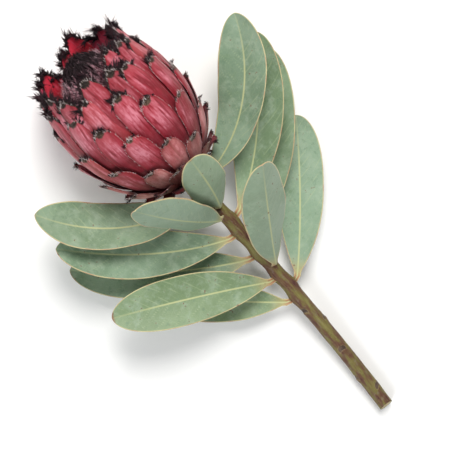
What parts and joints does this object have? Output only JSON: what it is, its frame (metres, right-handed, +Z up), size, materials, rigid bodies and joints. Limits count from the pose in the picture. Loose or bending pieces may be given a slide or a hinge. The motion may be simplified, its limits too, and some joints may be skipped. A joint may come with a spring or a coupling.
{
  "type": "protea flower",
  "caption": "Cut protea lying down: a cup of overlapping rose bracts round a dark floret dome, blue-green leaves and a woody stem with a slanting cut.",
  "frame": {"origin": "middle of the whole part's box, seen from above, on the surface that it lies on", "axes": "+Y along the part, from the cut end of the stem to the flower; +Z up; +X to the right when looking along +Y"},
  "size_m": [0.2052, 0.3572, 0.0982],
  "materials": {
    "bark": "rough bark",
    "leaf_green": "waxy, dull",
    "bract_rose": "silky, satin",
    "floret_black": "hairy, dull"
  },
  "bodies": {
    "root": {"stem": "bark", "bract_head": "bract_rose", "floret_dome": "floret_black", "leaf_01": "leaf_green", "leaf_02": "leaf_green", "leaf_03": "leaf_green", "leaf_04": "leaf_green", "leaf_05": "leaf_green", "leaf_06": "leaf_green", "leaf_07": "leaf_green", "leaf_08": "leaf_green", "leaf_09": "leaf_green", "leaf_10": "leaf_green", "leaf_11": "leaf_green", "leaf_12": "leaf_green"}
  },
  "joints": []
}
